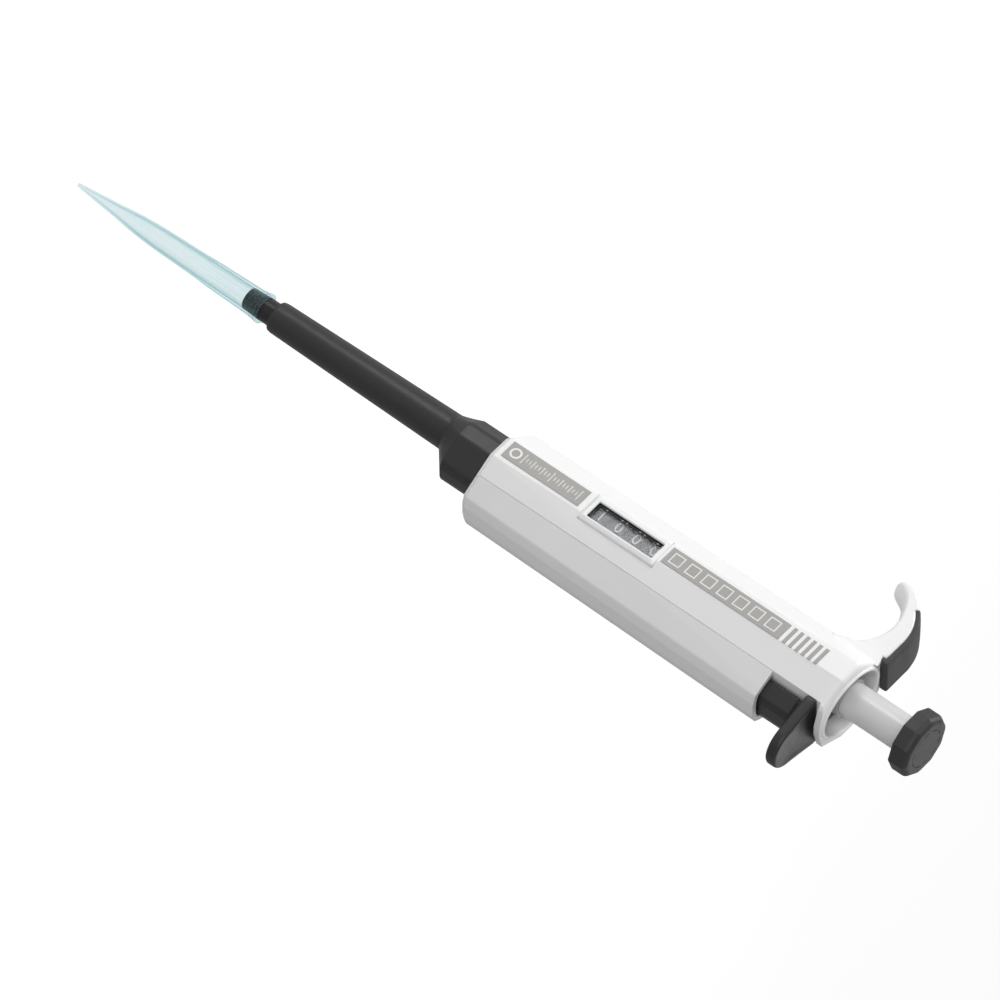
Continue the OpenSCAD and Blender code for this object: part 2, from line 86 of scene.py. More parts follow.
def new_material(name):
    """A material with only its output node, and its node tree."""
    made = bpy.data.materials.new(name)
    made.use_nodes = True
    tree = made.node_tree
    tree.nodes.clear()
    return made, tree, tree.nodes.new("ShaderNodeOutputMaterial")


def noise(tree, scale, detail=3.0):
    """Noise in the object's own coordinates; scale is in patches per metre."""
    place = node(tree, "ShaderNodeTexCoord")
    return node(tree, "ShaderNodeTexNoise",
                {"Vector": place.outputs["Object"], "Scale": scale, "Detail": detail}).outputs["Fac"]


def spread(tree, value, low, high):
    """Maps 0..1 noise, which mostly lies between 0.3 and 0.7, to low..high."""
    return node(tree, "ShaderNodeMapRange",
                {"Value": value, "From Min": 0.3, "From Max": 0.7, "To Min": low, "To Max": high}
                ).outputs["Result"]


def scaled(colour, amount):
    return tuple(min(1.0, part * amount) for part in colour[:3]) + (1.0,)


def edge_mask(tree, radius):
    """0 on flat faces, rising to 1 where a face turns within radius: the edges that hands polish."""
    soft = node(tree, "ShaderNodeBevel", {"Radius": radius}, samples=6)
    true = node(tree, "ShaderNodeNewGeometry")
    dot = node(tree, "ShaderNodeVectorMath",
               {0: soft.outputs["Normal"], 1: true.outputs["True Normal"]}, operation="DOT_PRODUCT")
    return soft.outputs["Normal"], node(
        tree, "ShaderNodeMapRange",
        {"Value": dot.outputs["Value"], "From Min": 0.995, "From Max": 0.85,
         "To Min": 0.0, "To Max": 1.0}).outputs["Result"]


def moulded(name, colour, roughness, grain=0.3, depth=0.004, tone=0.03, wear=1.06, soft=0.25,
            specular=0.5, coat=0.0):
    """Moulded plastic or rubber: eroded grain, slow tone changes and polished edges. Lengths in mm."""
    made, tree, out = new_material(name)
    normal, edges = edge_mask(tree, soft * MM)
    slow = spread(tree, noise(tree, 45.0), 0.0, 1.0)
    fine = noise(tree, 1.0 / (grain * MM), 4.0)
    base = node(tree, "ShaderNodeMix",
                {"Factor": slow, 6: scaled(colour, 1 - tone), 7: scaled(colour, 1 + tone)},
                data_type="RGBA")
    worn = node(tree, "ShaderNodeMix",
                {"Factor": edges, 6: base.outputs[2], 7: scaled(colour, wear)}, data_type="RGBA")
    bump = node(tree, "ShaderNodeBump",
                {"Height": fine, "Distance": depth * MM, "Strength": 1.0, "Normal": normal})
    shader = node(tree, "ShaderNodeBsdfPrincipled",
                  {"Base Color": worn.outputs[2],
                   "Roughness": spread(tree, noise(tree, 400.0), roughness - 0.03, roughness + 0.03),
                   "Normal": bump.outputs["Normal"], "Specular IOR Level": specular,
                   "Coat Weight": coat, "Coat Roughness": 0.12})
    tree.links.new(shader.outputs[0], out.inputs["Surface"])
    return made


def metal(name, colour, roughness, turned=0.12):
    """Turned or drawn metal, with fine rings round Z; turned is the spacing of the rings in mm."""
    made, tree, out = new_material(name)
    place = node(tree, "ShaderNodeTexCoord")
    rings = node(tree, "ShaderNodeTexWave",
                 {"Vector": place.outputs["Object"], "Scale": 1.0 / (turned * MM) / 6.28,
                  "Distortion": 1.5, "Detail": 2.0}, bands_direction="Z")
    bump = node(tree, "ShaderNodeBump",
                {"Height": rings.outputs["Fac"], "Distance": 0.002 * MM, "Strength": 0.6})
    shader = node(tree, "ShaderNodeBsdfPrincipled",
                  {"Base Color": scaled(colour, 1.0), "Metallic": 1.0,
                   "Roughness": spread(tree, noise(tree, 300.0), roughness - 0.06, roughness + 0.06),
                   "Normal": bump.outputs["Normal"]})
    tree.links.new(shader.outputs[0], out.inputs["Surface"])
    return made


def tip_plastic():
    """Clear pale cyan polypropylene, with soft streaks drawn along it, deeper where a wall is seen edge on."""
    made, tree, out = new_material("tip_plastic")
    facing = node(tree, "ShaderNodeLayerWeight", {"Blend": 0.35}).outputs["Facing"]
    place = node(tree, "ShaderNodeTexCoord")
    drawn = node(tree, "ShaderNodeVectorMath", {0: place.outputs["Object"], 1: (1.0, 1.0, 0.03)},
                 operation="MULTIPLY")
    streaks = node(tree, "ShaderNodeTexNoise",
                   {"Vector": drawn.outputs[0], "Scale": 620.0, "Detail": 2.0}).outputs["Fac"]
    tint = node(tree, "ShaderNodeValToRGB", {"Fac": facing})
    ramp = tint.color_ramp
    ramp.elements[0].position = 0.2
    ramp.elements[0].color = (0.90, 0.935, 0.94, 1)
    ramp.elements[1].position = 0.98
    ramp.elements[1].color = (0.52, 0.74, 0.77, 1)
    clear = node(tree, "ShaderNodeBsdfTransparent", {"Color": tint.outputs["Color"]})
    ripple = node(tree, "ShaderNodeBump", {"Height": noise(tree, 900.0), "Distance": 0.01 * MM})
    skin = node(tree, "ShaderNodeBsdfPrincipled",
                {"Base Color": (0.50, 0.66, 0.68, 1), "Roughness": 0.22,
                 "Normal": ripple.outputs["Normal"]})
    amount = node(tree, "ShaderNodeMapRange",
                  {"Value": facing, "From Min": 0.1, "From Max": 1.0, "To Min": 0.03, "To Max": 0.34})
    varied = node(tree, "ShaderNodeMath",
                  {0: amount.outputs["Result"], 1: spread(tree, streaks, 0.45, 1.35)},
                  operation="MULTIPLY")
    mixed = node(tree, "ShaderNodeMixShader",
                 {"Fac": varied.outputs[0], 1: clear.outputs[0], 2: skin.outputs[0]})
    tree.links.new(mixed.outputs[0], out.inputs["Surface"])
    return made


def window_clear():
    """Clear moulded window: nearly invisible, with a sharp sheen."""
    made, tree, out = new_material("window_clear")
    facing = node(tree, "ShaderNodeLayerWeight", {"Blend": 0.2}).outputs["Fresnel"]
    clear = node(tree, "ShaderNodeBsdfTransparent", {"Color": (0.93, 0.94, 0.95, 1)})
    sheen = node(tree, "ShaderNodeBsdfGlossy",
                 {"Color": (1, 1, 1, 1),
                  "Roughness": spread(tree, noise(tree, 500.0), 0.04, 0.12)})
    mixed = node(tree, "ShaderNodeMixShader",
                 {"Fac": facing, 1: clear.outputs[0], 2: sheen.outputs[0]})
    tree.links.new(mixed.outputs[0], out.inputs["Surface"])
    return made


SLOTS = {
    "tip_plastic": tip_plastic(),
    "window_clear": window_clear(),
    "nozzle_plastic": moulded("nozzle_plastic", (0.006, 0.006, 0.007), 0.28, wear=1.6),
    "black_plastic": moulded("black_plastic", (0.012, 0.012, 0.0125), 0.40, wear=1.5, specular=0.62),
    "white_plastic": moulded("white_plastic", (0.86, 0.86, 0.86), 0.42, tone=0.012, wear=1.03),
    "cover_plastic": moulded("cover_plastic", (0.76, 0.76, 0.76), 0.42, tone=0.012, wear=1.03),
    "pad_rubber": moulded("pad_rubber", (0.045, 0.045, 0.047), 0.62, grain=0.2, wear=1.4),
    "label_grey": moulded("label_grey", (0.385, 0.375, 0.36), 0.55, grain=0.15, depth=0.001),
    "print_white": moulded("print_white", (0.84, 0.84, 0.83), 0.5, grain=0.15, depth=0.001),
    "rod_plastic": moulded("rod_plastic", (0.66, 0.66, 0.665), 0.33, grain=1.5, depth=0.002, specular=0.8),
    "button_plastic": moulded("button_plastic", (0.020, 0.020, 0.021), 0.5, wear=2.4, specular=0.6),
    # inner_plastic is darker than the white casing: partly the inner parts' own grey, partly painted shade for the
    # dark inside of the mouth.
    "inner_plastic": moulded("inner_plastic", (0.40, 0.40, 0.395), 0.45),
    "ring_plastic": moulded("ring_plastic", (0.11, 0.11, 0.115), 0.34, grain=0.4),
    "seal_rubber": moulded("seal_rubber", (0.022, 0.022, 0.022), 0.6, grain=0.15),
    "seal_ptfe": moulded("seal_ptfe", (0.88, 0.88, 0.85), 0.5),
    "steel": metal("steel", (0.62, 0.63, 0.65), 0.28),
    "hub_alloy": metal("hub_alloy", (0.72, 0.73, 0.74), 0.34),
    "brass": metal("brass", (0.72, 0.52, 0.22), 0.30),
}
for part in frame["record"]["subparts"]:
    shown = nodes[part["node"]]
    shown.data.materials.clear()
    shown.data.materials.append(SLOTS[part["material_slot"]])


def smooth_edges(piece, angle=32.0):
    """Shades a piece smooth, with its edges sharper than angle kept, and flats kept flat."""
    for face in piece.data.polygons:
        face.use_smooth = True
    weld = piece.modifiers.new("weld", "WELD")
    weld.merge_threshold = 0.0005 * MM
    split = piece.modifiers.new("sharp edges", "EDGE_SPLIT")
    split.split_angle = math.radians(angle)
    piece.modifiers.new("flat faces", "WEIGHTED_NORMAL").keep_sharp = True


for shown in nodes.values():
    smooth_edges(shown)


# ---------------------------------------------------------------- outlines and meshes

def smoothstep(value, low, high):
    share = min(1.0, max(0.0, (value - low) / (high - low)))
    return share * share * (3 - 2 * share)


def turn(radius, degrees):
    """A point in a plane, at radius and angle."""
    return Vector((radius * math.cos(math.radians(degrees)), radius * math.sin(math.radians(degrees))))


def corner_normals(corners, index):
    """Outward normals of the two edges that meet at a corner of a counter-clockwise outline."""
    before = (corners[index] - corners[index - 1]).normalized()
    after = (corners[(index + 1) % len(corners)] - corners[index]).normalized()
    return Vector((before.y, -before.x)), Vector((after.y, -after.x))


def inset(corners, depth):
    """A convex outline moved inwards by depth."""
    made = []
    for index, corner in enumerate(corners):
        n, m = corner_normals(corners, index)
        made.append(corner - (n + m) * (depth / (1 + n.dot(m))))
    return made


def rounded(corners, radius, steps=4):
    """A convex outline with its corners rounded; each corner becomes steps + 1 points."""
    made = []
    for index, corner in enumerate(corners):
        n, m = corner_normals(corners, index)
        centre = corner - (n + m) * (radius / (1 + n.dot(m)))
        start = math.degrees(math.atan2(n.y, n.x))
        swing = math.degrees(math.acos(min(1.0, n.dot(m))))
        made += [centre + turn(radius, start + swing * step / steps) for step in range(steps + 1)]
    return made


def mirrored(half):
    """The whole counter-clockwise outline of a section, from the corners on its +Y side."""
    return [Vector((x, -y)) for x, y in half] + [Vector(corner) for corner in reversed(half)]


def rays(outline, centre, count=144):
    """The points where evenly spaced rays from centre cross a convex outline."""
    made = []
    for index in range(count):
        way = turn(1.0, 360.0 * index / count)
        nearest = None
        for start, end in zip(outline, outline[1:] + outline[:1]):
            along = end - start
            cross = way.x * along.y - way.y * along.x
            if abs(cross) < 1e-9:
                continue
            away = start - centre
            reach = (away.x * along.y - away.y * along.x) / cross
            share = (away.x * way.y - away.y * way.x) / cross
            if reach > 0 and -1e-6 <= share <= 1 + 1e-6:
                nearest = reach if nearest is None else min(nearest, reach)
        made.append(centre + way * nearest)
    return made


def at_height(outline, z):
    """A plane outline as points in space, at height z."""
    return [Vector((point.x, point.y, z)) for point in outline]


def loft(rings, loop=False):
    """A closed mesh in mm through rings of equally many points, capped at its ends or joined end to end."""
    made = bmesh.new()
    rows = [[made.verts.new(point) for point in ring] for ring in rings]
    count = len(rows[0])
    for lower, upper in zip(rows, rows[1:] + (rows[:1] if loop else [])):
        for index in range(count):
            after = (index + 1) % count
            made.faces.new((lower[index], lower[after], upper[after], upper[index]))
    if not loop:
        made.faces.new(rows[0][::-1])
        made.faces.new(rows[-1])
    bmesh.ops.recalc_face_normals(made, faces=made.faces)
    return made


def add_piece(name, made, slot, body, *nodes_hidden, angle=32.0, look=None):
    """Turns a bmesh in mm into a piece that rides on a body and stands for the named CAD nodes.

    look is the finish, where it isn't that of the record's material slot."""
    bmesh.ops.scale(made, vec=(MM, MM, MM), verts=made.verts)
    mesh = bpy.data.meshes.new(name)
    made.to_mesh(mesh)
    made.free()
    piece = bpy.data.objects.new(name, mesh)
    bpy.context.scene.collection.objects.link(piece)
    mesh.materials.append(SLOTS[look or slot])
    smooth_edges(piece, angle)
    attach(piece, body)
    if nodes_hidden:
        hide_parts(*nodes_hidden)
    return piece


def box_mm(name):
    low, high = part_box(name)
    return low / MM, high / MM


# ---------------------------------------------------------------- push button

def make_push_button():
    low, high = box_mm("push_button")
    corner_r = high.x
    sides = 10
    ease = 2.0
    bore_r = 5.37
    corners = [turn(corner_r, 360.0 * side / sides) for side in range(sides)]

    def ring(depth, soft, z):
        return at_height(rounded(inset(corners, depth), soft, 6), z)

    def circle(radius, z):
        return at_height([point.normalized() * radius for point in rounded(corners, 0.7, 6)], z)

    top = high.z
    sections = [circle(bore_r, low.z + 2.85), circle(bore_r, low.z), ring(0.6, 0.7, low.z),
                ring(0.15, 0.7, low.z + 0.2), ring(0.0, 0.7, low.z + 0.6)]
    for step in range(9):
        bend = 90.0 * step / 8
        arc = turn(ease, bend)
        sections.append(ring(ease - arc.x, 0.7 + 2.2 * bend / 90, top - ease + arc.y))
    sections += [circle(6.2, top), circle(6.2, top - 0.6)]
    add_piece("push_button_cap", loft(sections), "button_plastic", "plunger", "push_button", angle=50)


# ---------------------------------------------------------------- ejector

def make_paddle():
    low, high = box_mm("ejector_button")
    stem = rounded(mirrored([(13.05, 7.3), (18.15, 4.7), (18.85, 2.3)]), 0.5)
    end_r = 7.2
    reach = high.x
    edge = low.x - 0.6
    tip = [Vector((reach - end_r, 0)) + turn(end_r, bend) for bend in range(-72, 73, 8)]
    near = [Vector((edge + 1, -9)) + turn(1.0, bend) for bend in (180, 205, 230, 255, 280)]
    far = [Vector((edge + 1, 9)) + turn(1.0, bend) for bend in (80, 105, 130, 155, 180)]
    plan = near + tip + far
    stem_mid = Vector((15.9, 0))
    plan_mid = Vector((20, 0))
    stem_ring = rays(stem, stem_mid)
    plan_ring = rays(plan, plan_mid)
    top = high.z
    flare = 213.0
    sections = [at_height(stem_ring, z) for z in (low.z, flare - 0.5, flare)]

    def drawn_in(depth):
        return [plan_mid + (point - plan_mid) * (1 - depth / (point - plan_mid).length) for point in plan_ring]

    for share in (0.25, 0.5, 0.75):
        sections.append(at_height([a.lerp(b, share) for a, b in zip(stem_ring, drawn_in(0.3))],
                                  flare + (top - 3.3 - flare) * share))
    for depth, drop in ((0.3, 3.3), (0.06, 3.0), (0, 2.7), (0, 0.9), (0.07, 0.55), (0.25, 0.25),
                        (0.5, 0.07), (0.9, 0.0), (1.5, 0.06)):
        sections.append(at_height(drawn_in(depth), top - drop))
    for share in (0.75, 0.6, 0.45, 0.3, 0.15, 0.03):
        sections.append(at_height([plan_mid + (point - plan_mid) * share for point in plan_ring],
                                  top - 0.6 * (1 - share ** 2)))
    add_piece("ejector_paddle", loft(sections), "black_plastic", "ejector", "ejector_button", angle=40)


def make_sleeve():
    low, high = box_mm("ejector_sleeve")
    skirt = mirrored([(-7.5, 3.4), (-1.1, 9.2), (4.3, 9.2), (12.3, 4.2), (13, 1.8)])
    middle = Vector((2.5, 0))
    zero = Vector((0, 0))
    rim_r, low_r, top_r, bore_r = 4.45, 4.95, 5.83, 4.3
    shoulder, full = 75.7, 82.0
    circle = [turn(1.0, 2.5 * index) for index in range(144)]

    def tube_ring(radius, z):
        return at_height([point * radius for point in circle], z)

    outer = rays(rounded(skirt, 2.6, 8), middle)
    inner = rays(rounded(inset(skirt, 1.3), 0.8, 6), middle)
    sections = [tube_ring(rim_r, low.z), tube_ring(low_r - 0.2, low.z + 0.25), tube_ring(low_r, low.z + 1.3)]
    sections.append(tube_ring((low_r + top_r) / 2, (low.z + shoulder) / 2))
    sections.append(tube_ring(top_r - 0.02, shoulder - 0.7))
    wide = [point * top_r for point in circle]
    for share in (0.0, 0.06, 0.2, 0.4, 0.6, 0.8, 0.94, 1.0):
        sections.append(at_height([a.lerp(b, share) for a, b in zip(wide, outer)],
                                  shoulder + (full - shoulder) * share))
    sections += [at_height(outer, full + 0.5), at_height(outer, high.z), at_height(inner, high.z),
                 at_height(inner, full + 1)]
    sections += [tube_ring(bore_r, shoulder - 2), tube_ring(bore_r, low.z)]
    add_piece("ejector_sleeve_shell", loft(sections, loop=True), "black_plastic", "ejector",
              "ejector_sleeve", angle=28)


# ---------------------------------------------------------------- tip

def make_tip():
    low, high = box_mm("tip")
    ribs = 8
    count = ribs * 24
    outer = [(0.25, low.z), (0.55, low.z), (0.62, low.z + 0.15), (1.35, -57.5), (2.1, -49.5), (2.6, -45.5),
             (3.0, -41.6), (3.28, -37.5), (3.45, -33.8), (3.6, -27), (3.75, -19.5), (3.85, -15.1),
             (3.9, -14.2), (4.0, -10), (4.16, -2.5), (4.27, 3.2), (4.28, 3.4), (4.5, 3.45), (4.52, 3.75),
             (4.3, 3.8), (4.32, 5.0), (4.8, 5.05), (high.x, 5.2), (high.x, high.z - 0.12),
             (4.74, high.z)]
    inner = [(3.8, high.z), (3.72, high.z - 0.2), (3.47, 0), (3.4, -2), (3.3, -15.1), (2.95, -33.8), (2.5, -41.6),
             (1.6, -49.5), (0.85, -57.5)]

    def ring(radius, z, raised):
        made = []
        for index in range(count):
            phase = abs(((index / 24 + 0.5) % 1.0) - 0.5) * 24
            height = 0.34 * smoothstep(z, -16.5, -14.0) * (1 - smoothstep(z, 4.2, 4.9)) if raised else 0
            bump = height * (1 - smoothstep(phase, 1.0, 2.2))
            made.append(turn(radius + bump, 360.0 * index / count))
        return at_height(made, z)

    sections = [ring(radius, z, True) for radius, z in outer]
    sections += [ring(radius, z, False) for radius, z in inner]
    add_piece("tip_cone", loft(sections, loop=True), "tip_plastic", "tip", "tip", angle=40)


# ---------------------------------------------------------------- counter

def make_window_frame():
    low, high = box_mm("window_frame")
    lens_low, lens_high = box_mm("window_lens")
    face = low.y

    def ring(x0, x1, z0, z1, soft, y):
        plan = [Vector((x0, z0)), Vector((x1, z0)), Vector((x1, z1)), Vector((x0, z1))]
        return [Vector((point.x, y, point.y)) for point in rounded(plan, soft, 5)]

    def outer(depth, y, soft=0.7):
        return ring(low.x + depth, high.x - depth, low.z + depth, high.z - depth, soft, y)

    def opening(grow, y, soft=0.35):
        return ring(lens_low.x - grow, lens_high.x + grow, lens_low.z - grow, lens_high.z + grow, soft, y)

    sill = face + 0.6
    seat = 0.62
    sections = [outer(0, high.y), outer(0, face + 0.75), outer(0.08, face + 0.6), outer(0.75, face + 0.14),
                outer(0.9, face + 0.04), outer(1.1, face), opening(0.3, face, 0.5), opening(0.14, face + 0.06, 0.4),
                opening(0.08, face + 0.25), opening(0.0, sill), opening(seat, sill), opening(seat, high.y)]
    add_piece("window_bezel", loft(sections, loop=True), "white_plastic", "handle", "window_frame", angle=24)
    # A near-black lining round the lens, just behind its sill: painted shade for the dark inside of the window's
    # recess.
    inner_end = lens_high.y + 1.3
    shade_lining = [opening(seat - 0.03, sill + 0.03), opening(0.04, sill + 0.03), opening(0.04, inner_end),
            opening(seat - 0.03, inner_end)]
    add_piece("window_shade_lining", loft(shade_lining, loop=True), "nozzle_plastic", "handle")


def digit_mesh(letter, size):
    """One digit as a bmesh in mm, cut into narrow strips across its height so that it can bend."""
    curve = bpy.data.curves.new("digit", "FONT")
    curve.body = letter
    curve.size = size
    curve.align_x = "CENTER"
    curve.align_y = "CENTER"
    curve.extrude = 0.05
    curve.offset = 0.004 * size
    curve.resolution_u = 5
    shape = bpy.data.objects.new("digit", curve)
    bpy.context.scene.collection.objects.link(shape)
    bpy.context.view_layer.update()
    mesh = bpy.data.meshes.new_from_object(shape.evaluated_get(bpy.context.evaluated_depsgraph_get()))
    bpy.data.objects.remove(shape)
    made = bmesh.new()
    made.from_mesh(mesh)
    bpy.data.meshes.remove(mesh)
    bmesh.ops.remove_doubles(made, verts=made.verts, dist=0.001)
    for step in range(-6, 7):
        bmesh.ops.bisect_plane(made, geom=list(made.verts) + list(made.edges) + list(made.faces),
                               plane_co=(0, 0.3 * step, 0), plane_no=(0, 1, 0))
    return made


def make_digits():
    """Ten digits on each number ring; the last ring moves five units at a time, so it alternates 0 and 5."""
    shown_at = -82.0
    height = 3.6
    rings = (("thousands_ring", "thousands", 1), ("hundreds_ring", "hundreds", 0), ("tens_ring", "tens", 0),
             ("units_ring", "hub", 0))
    for ring_name, body, reading in rings:
        low, high = box_mm(ring_name)
        middle = (low.z + high.z) / 2
        radius = high.x
        joined = bmesh.new()
        for step in range(10):
            number = (reading + step) % 10
            if body == "hub":
                number = 5 * (step % 2)
            made = digit_mesh(str(number), height * 1.4)
            for vert in made.verts:
                angle = shown_at - 36.0 * step - math.degrees(vert.co.y / radius)
                place = turn(radius + 0.01 + vert.co.z, angle)
                vert.co = Vector((place.x, place.y, middle + vert.co.x))
            piece_mesh = bpy.data.meshes.new("digit")
            made.to_mesh(piece_mesh)
            made.free()
            joined.from_mesh(piece_mesh)
            bpy.data.meshes.remove(piece_mesh)
        bmesh.ops.recalc_face_normals(joined, faces=joined.faces)
        add_piece(body + "_digits", joined, "white_plastic", body, look="print_white")


# ---------------------------------------------------------------- print on the labels

def slab_on_face(x0, x1, z0, z1, face, rise=0.03):
    """A thin raised rectangle on a face that looks towards -Y."""
    made = bmesh.new()
    bmesh.ops.create_cube(made, size=1.0)
    for vert in made.verts:
        vert.co = Vector(((x0 + x1) / 2 + vert.co.x * (x1 - x0), face - rise / 2 + vert.co.y * (rise + 0.02),
                          (z0 + z1) / 2 + vert.co.z * (z1 - z0)))
    return made


def joined_mesh(parts):
    whole = bmesh.new()
    for part in parts:
        mesh = bpy.data.meshes.new("part")
        part.to_mesh(mesh)
        part.free()
        whole.from_mesh(mesh)
        bpy.data.meshes.remove(mesh)
    return whole


def make_label_print():
    low, high = box_mm("range_label")
    face = low.y
    middle = (low.x + high.x) / 2
    ticks = []
    count = 19
    for index in range(count):
        tall = 1.9 if index % 9 == 0 else (1.4 if index % 3 == 0 else 0.8)
        z = low.z + 6.0 + index * 1.12
        ticks.append(slab_on_face(middle - tall, middle + tall, z - 0.17, z + 0.17, face))
    ring = [Vector((point.x + middle, 0, point.y + low.z + 3.0)) for point in
            [turn(1.9, 10.0 * step) for step in range(36)]]
    hole = [Vector((point.x + middle, 0, point.y + low.z + 3.0)) for point in
            [turn(1.25, 10.0 * step) for step in range(36)]]
    lift = Vector((0, face + 0.01, 0))
    rise = Vector((0, face - 0.03, 0))
    ticks.append(loft([[p + lift for p in ring], [p + rise for p in ring], [p + rise for p in hole],
                       [p + lift for p in hole]], loop=True))
    add_piece("range_label_print", joined_mesh(ticks), "white_plastic", "handle", look="print_white")

    low, high = box_mm("name_label")
    blocks = []
    pitch, wide, stroke, tall = 5.75, 3.9, 0.42, 2.0
    for index in range(7):
        start = low.z + 1.6 + pitch * index
        end = start + wide
        for z0, z1, x0, x1 in ((start, start + stroke, -tall, tall), (end - stroke, end, -tall, tall),
                               (start + stroke, end - stroke, -tall, -tall + stroke),
                               (start + stroke, end - stroke, tall - stroke, tall)):
            blocks.append(slab_on_face(middle + x0, middle + x1, z0, z1, face))
    add_piece("name_label_print", joined_mesh(blocks), "white_plastic", "handle", look="print_white")


# ---------------------------------------------------------------- finger hook

SEAT = Vector((-23.4, 204.6))
BACK = Vector((-21.2, 208.0))
HOOK_W = 13.68
ROOT_X = -10.6
ROOT_DEEPER = 1.15
LIP_X = -13.2


def along_back(angle, radius, flat_z, side_x):
    """Distance from SEAT to the hook's back at an angle: a flat near the rim, then an arc about BACK."""
    way = turn(1.0, angle)
    to_side = (side_x - SEAT.x) / way.x if way.x > 0.01 else 1e9
    to_flat = (flat_z - SEAT.y) / way.y
    away = SEAT - BACK
    b = away.dot(way)
    to_arc = -b + math.sqrt(b * b - away.dot(away) + radius * radius)
    reach = to_flat if (SEAT + way * to_flat).x > BACK.x else to_arc
    if (SEAT + way * min(to_side, reach)).y > 221.8:
        to_side = (LIP_X - SEAT.x) / way.x if way.x > 0.01 else to_side
    return min(to_side, reach)


def hook_ring(angle, reach_in, reach_out, half_width, bulge, soft):
    """A section of the hook across its width: its back is flat and its inner face bulges in the middle."""
    way = turn(1.0, angle)
    depth = reach_out - reach_in
    rooted = abs(SEAT.x + way.x * reach_out - ROOT_X) < 0.01
    soft_out = 0.02 if rooted else min(soft, depth * 0.35, half_width * 0.6)
    deeper = ROOT_DEEPER / way.x if rooted else 0.0
    soft_in = min(soft * 1.3, depth * 0.4, half_width * 0.6)
    points = []
    for step in range(5):
        arc = turn(soft_out, 22.5 * step)
        points.append((reach_out + deeper - soft_out + arc.x, half_width - soft_out + arc.y))
    for step in range(7):
        arc = turn(soft_in, 90 + 15.0 * step)
        points.append((reach_in + soft_in + arc.x, half_width - soft_in + arc.y))
    inside = half_width - soft_in
    for step in range(1, 16):
        y = inside - 2 * inside * step / 16
        points.append((reach_in - bulge * (1 - (y / inside) ** 2), y))
    half = points[:12]
    points += [(reach, -y) for reach, y in reversed(half)]
    points += [(reach_out, -half_width * 0.65), (reach_out, half_width * 0.65)]
    return [Vector((SEAT.x + way.x * reach, y, SEAT.y + way.y * reach)) for reach, y in points]


def make_hook():
    """The hook as one solid, from inside the handle's wall to its rounded end."""
    end = 169.0
    pad_end = 120.0
    sections = []
    angles = [6, 8, 10, 12.5, 16, 20, 24, 28, 32, 36, 40, 45, 50, 51.8, 52.4, 59.3, 60.5, 65, 70, 75, 80, 85, 90, 95, 100, 105, 110, 115, 119.8, 120.6]
    angles += [123, 126, 130, 134, 138, 142, 146, 150, 154]
    angles += [end - left for left in (12.5, 10, 7.8, 6, 4.5, 3.2, 2.2, 1.4, 0.8, 0.4, 0.15, 0)]
    for angle in angles:
        if angle < pad_end:
            reach_out = along_back(angle, 15.0, 223.0, ROOT_X)
        else:
            grown = 16.25 + 0.75 * smoothstep(angle, pad_end, 150)
            reach_out = along_back(angle, grown, 240.0, ROOT_X)
        reach_in = 12.66 + 0.6 * (1 - smoothstep(angle, 6, 12.5)) + 1.3 * smoothstep(angle, 105, 160)
        bulge = 1.2 * smoothstep(angle, 70, 125)
        left = (end - angle) * math.radians(1.0) * 15.5
        half = HOOK_W / 2
        round_end = 7.0
        if left < round_end:
            half *= max(0.03, (1 - ((round_end - left) / round_end) ** 2.3)) ** (1 / 2.3)
        middle = (reach_in + reach_out) / 2
        thick = 1.5
        if left < thick:
            squeeze = max(0.05, 1 - ((thick - left) / thick) ** 2) ** 0.5
            reach_in = middle + (reach_in - middle) * squeeze
            reach_out = middle + (reach_out - middle) * squeeze
            bulge *= squeeze
        sections.append(hook_ring(angle, reach_in, reach_out, half, min(bulge, half * 0.3), 0.9))
    return loft(sections)


def make_shell():
    """The handle's casing, with the CAD model's plain hook cut off at its wall, its top cut at the rim and its +X
    side trimmed.
    """
    casing = bmesh.new()
    casing.from_mesh(nodes["handle_shell"].data)
    bmesh.ops.scale(casing, vec=(1 / MM, 1 / MM, 1 / MM), verts=casing.verts)
    bmesh.ops.remove_doubles(casing, verts=casing.verts, dist=0.0005)
    rim = box_mm("rod_guide")[1].z + 0.8
    planes = [((-12.02, 0, 0), (-1, 0, 0)), ((0, 0, rim + 0.002), (0, 0, 1))]
    for bend, reach in ((-48, 15.86), (-30, 15.76), (-14, 15.1), (0, 15.1), (14, 15.1), (30, 15.76), (48, 15.86)):
        way = turn(1.0, bend)
        planes.append(((way.x * reach, way.y * reach, 0), (way.x, way.y, 0)))
    for place, way in planes:
        cut = bmesh.ops.bisect_plane(casing, geom=list(casing.verts) + list(casing.edges) + list(casing.faces),
                                     plane_co=place, plane_no=way, clear_outer=True)
        edges = [item for item in cut["geom_cut"] if isinstance(item, bmesh.types.BMEdge)]
        bmesh.ops.holes_fill(casing, edges=[edge for edge in casing.edges if edge.is_boundary], sides=0)
    shell = add_piece("handle_casing", casing, "white_plastic", "handle", "handle_shell")
    return shell


def make_mouth_ring():
    """A raised ring round the mouth of the casing."""
    middle = Vector((1.3, 0))
    rim = box_mm("rod_guide")[1].z + 0.8

    def oval(grow, z):
        return at_height([middle + Vector(((11.8 + grow) * math.cos(bend), (9.3 + grow) * math.sin(bend)))
                          for bend in (math.radians(2.5 * step) for step in range(144))], z)

    sections = [oval(1.15, rim - 0.8), oval(1.15, rim + 0.25), oval(1.05, rim + 0.45), oval(0.8, rim + 0.57),
                oval(0.35, rim + 0.57), oval(0.12, rim + 0.45), oval(0.03, rim + 0.2), oval(0.03, rim - 2.4),
                oval(0.4, rim - 2.4)]
    add_piece("mouth_ring", loft(sections, loop=True), "white_plastic", "handle", angle=50)


